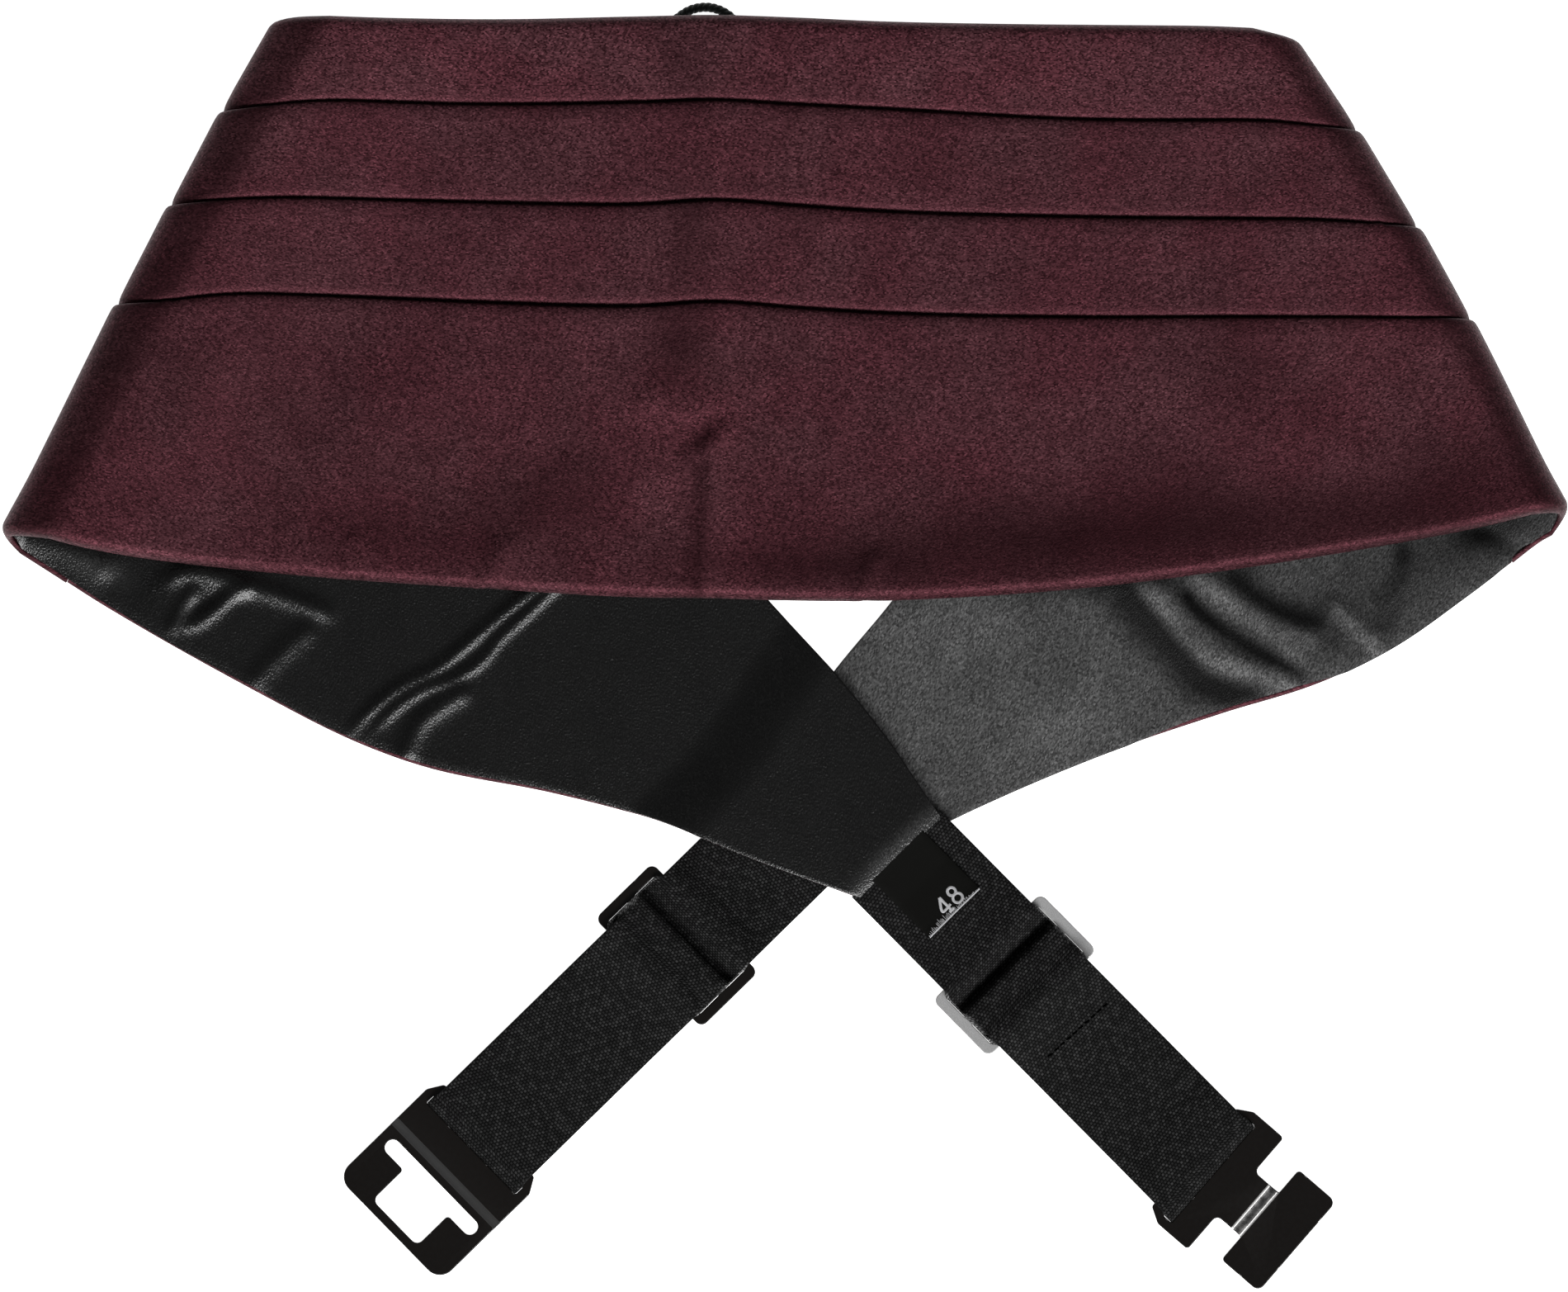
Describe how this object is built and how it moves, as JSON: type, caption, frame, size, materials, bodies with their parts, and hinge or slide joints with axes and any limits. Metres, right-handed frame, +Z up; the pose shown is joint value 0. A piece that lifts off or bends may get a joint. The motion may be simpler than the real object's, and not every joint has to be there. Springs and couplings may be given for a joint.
{
  "type": "cummerbund",
  "caption": "Pleated satin cummerbund with adjustable elastic straps and a T-hook fastening, laid flat with its sides folded in under the front.",
  "frame": {"origin": "on the surface the garment lies on, under the middle of its outline", "axes": "+X along the pleats, to the right as the front is seen; +Y from the straps' ends to the front's top edge; +Z up, out of the front"},
  "size_m": [0.316, 0.2598, 0.0103],
  "materials": {
    "burgundy_satin": "fine satin weave, low sheen",
    "black_satin": "lining satin, glossy along its creases",
    "black_cord": "twisted cord",
    "ribbed_elastic": "cross-ribbed woven elastic, matte",
    "woven_label": "woven satin ribbon with white figures",
    "grey_metal": "blasted grey, worn bright at the slots",
    "black_metal": "gloss black paint, worn bright at the bends"
  },
  "bodies": {
    "root": {"front_panel": "burgundy_satin", "front_lining": "black_satin", "left_wing_shell": "burgundy_satin", "right_wing_shell": "burgundy_satin", "left_wing_lining": "black_satin", "right_wing_lining": "black_satin", "button_loop": "black_cord", "hook_strap": "ribbed_elastic", "slot_strap": "ribbed_elastic", "size_label": "woven_label", "hook_slider": "grey_metal", "slot_slider": "black_metal", "hook_plate": "black_metal", "slot_plate": "black_metal"}
  },
  "joints": []
}
